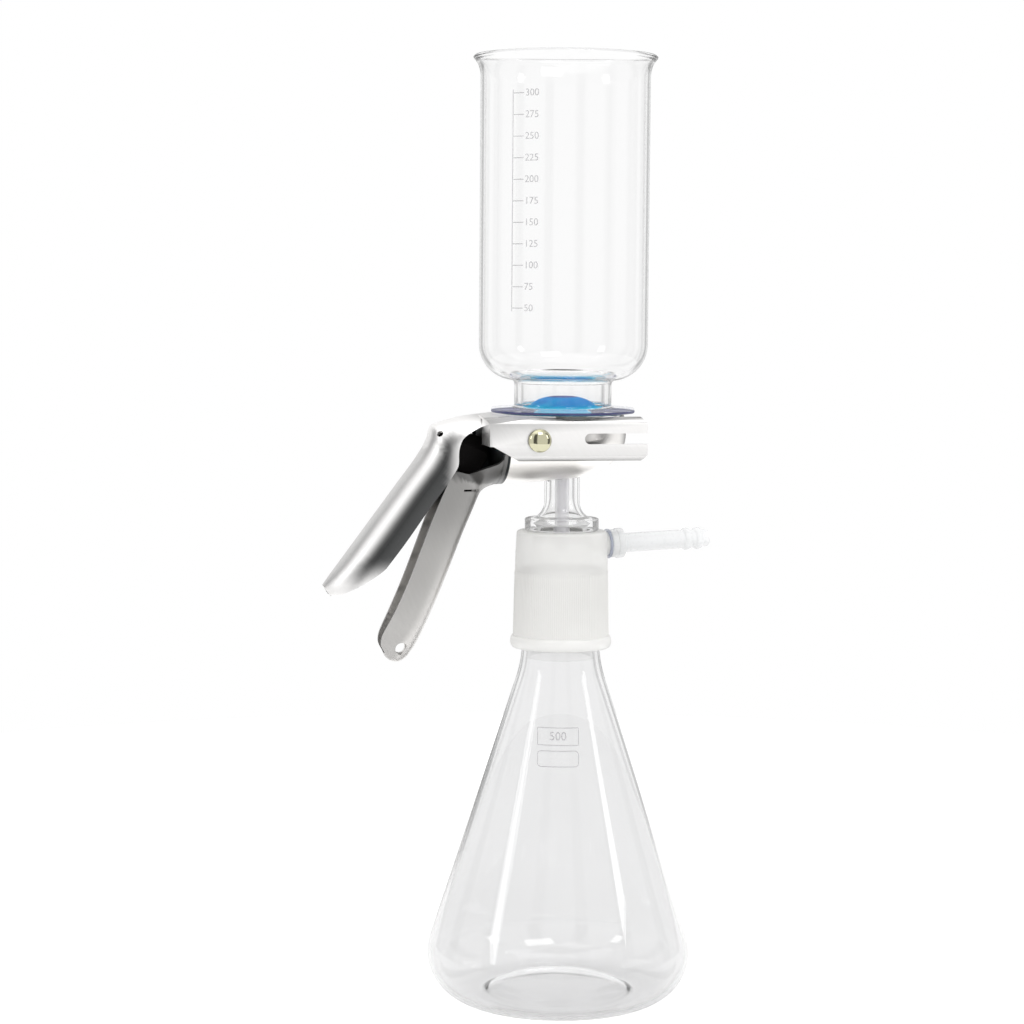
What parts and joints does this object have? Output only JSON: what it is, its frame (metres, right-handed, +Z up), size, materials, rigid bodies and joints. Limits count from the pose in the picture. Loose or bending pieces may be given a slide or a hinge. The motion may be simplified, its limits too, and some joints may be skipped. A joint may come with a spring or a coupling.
{
  "type": "vacuum filtration unit",
  "caption": "Glass vacuum filtration unit: graduated funnel over a domed filter and glass base, held by a spring clamp, on a capped conical flask with a hose arm.",
  "frame": {"origin": "middle of the whole outline, on the plane that the flask stands on; the glass axis is 17 mm along +X from it", "axes": "+Z up along the glass axis, the hose arm towards +X and a little +Y, the clamp's handles towards -X and a little -Y"},
  "size_m": [0.1558, 0.1066, 0.3794],
  "materials": {
    "glass": "clear, fire polished",
    "frosted_glass": "frosted",
    "sintered_glass": "sintered, matt white",
    "pale_tube": "translucent, smooth",
    "blue_filter": "satin",
    "clear_rubber": "soft, translucent",
    "dark_rubber": "matt",
    "translucent_plastic": "translucent, moulded",
    "satin_aluminium": "satin, anodised",
    "rivet_metal": "polished, nickel tint",
    "spring_steel": "dark, oil blackened"
  },
  "bodies": {
    "unit": {"flask": "glass", "joint_cap": "frosted_glass", "cap_seal": "clear_rubber", "filter_base": "glass", "drip_tube": "pale_tube", "frit_disc": "sintered_glass", "filter_disc": "blue_filter", "funnel": "glass", "port_seal": "dark_rubber", "port_nut": "translucent_plastic", "hose_barb": "translucent_plastic", "upper_arm": "satin_aluminium", "handle_spring": "spring_steel", "pivot_rivet_front": "rivet_metal", "pivot_rivet_rear": "rivet_metal", "pivot_washer_front": "satin_aluminium", "pivot_washer_rear": "satin_aluminium"},
    "lower_lever": {"lower_arm": "satin_aluminium"}
  },
  "joints": [
    {"name": "clamp_squeeze", "type": "hinge", "parent": "unit", "child": "lower_lever", "pos_m": [0.00208, -0.0029, 0.2286], "axis": [-0.1908, 0.9816, 0], "range_deg": [0, 14], "stiffness_Nm_per_rad": 0.5, "springref_deg": -34.38, "deforming": ["handle_spring"]}
  ]
}
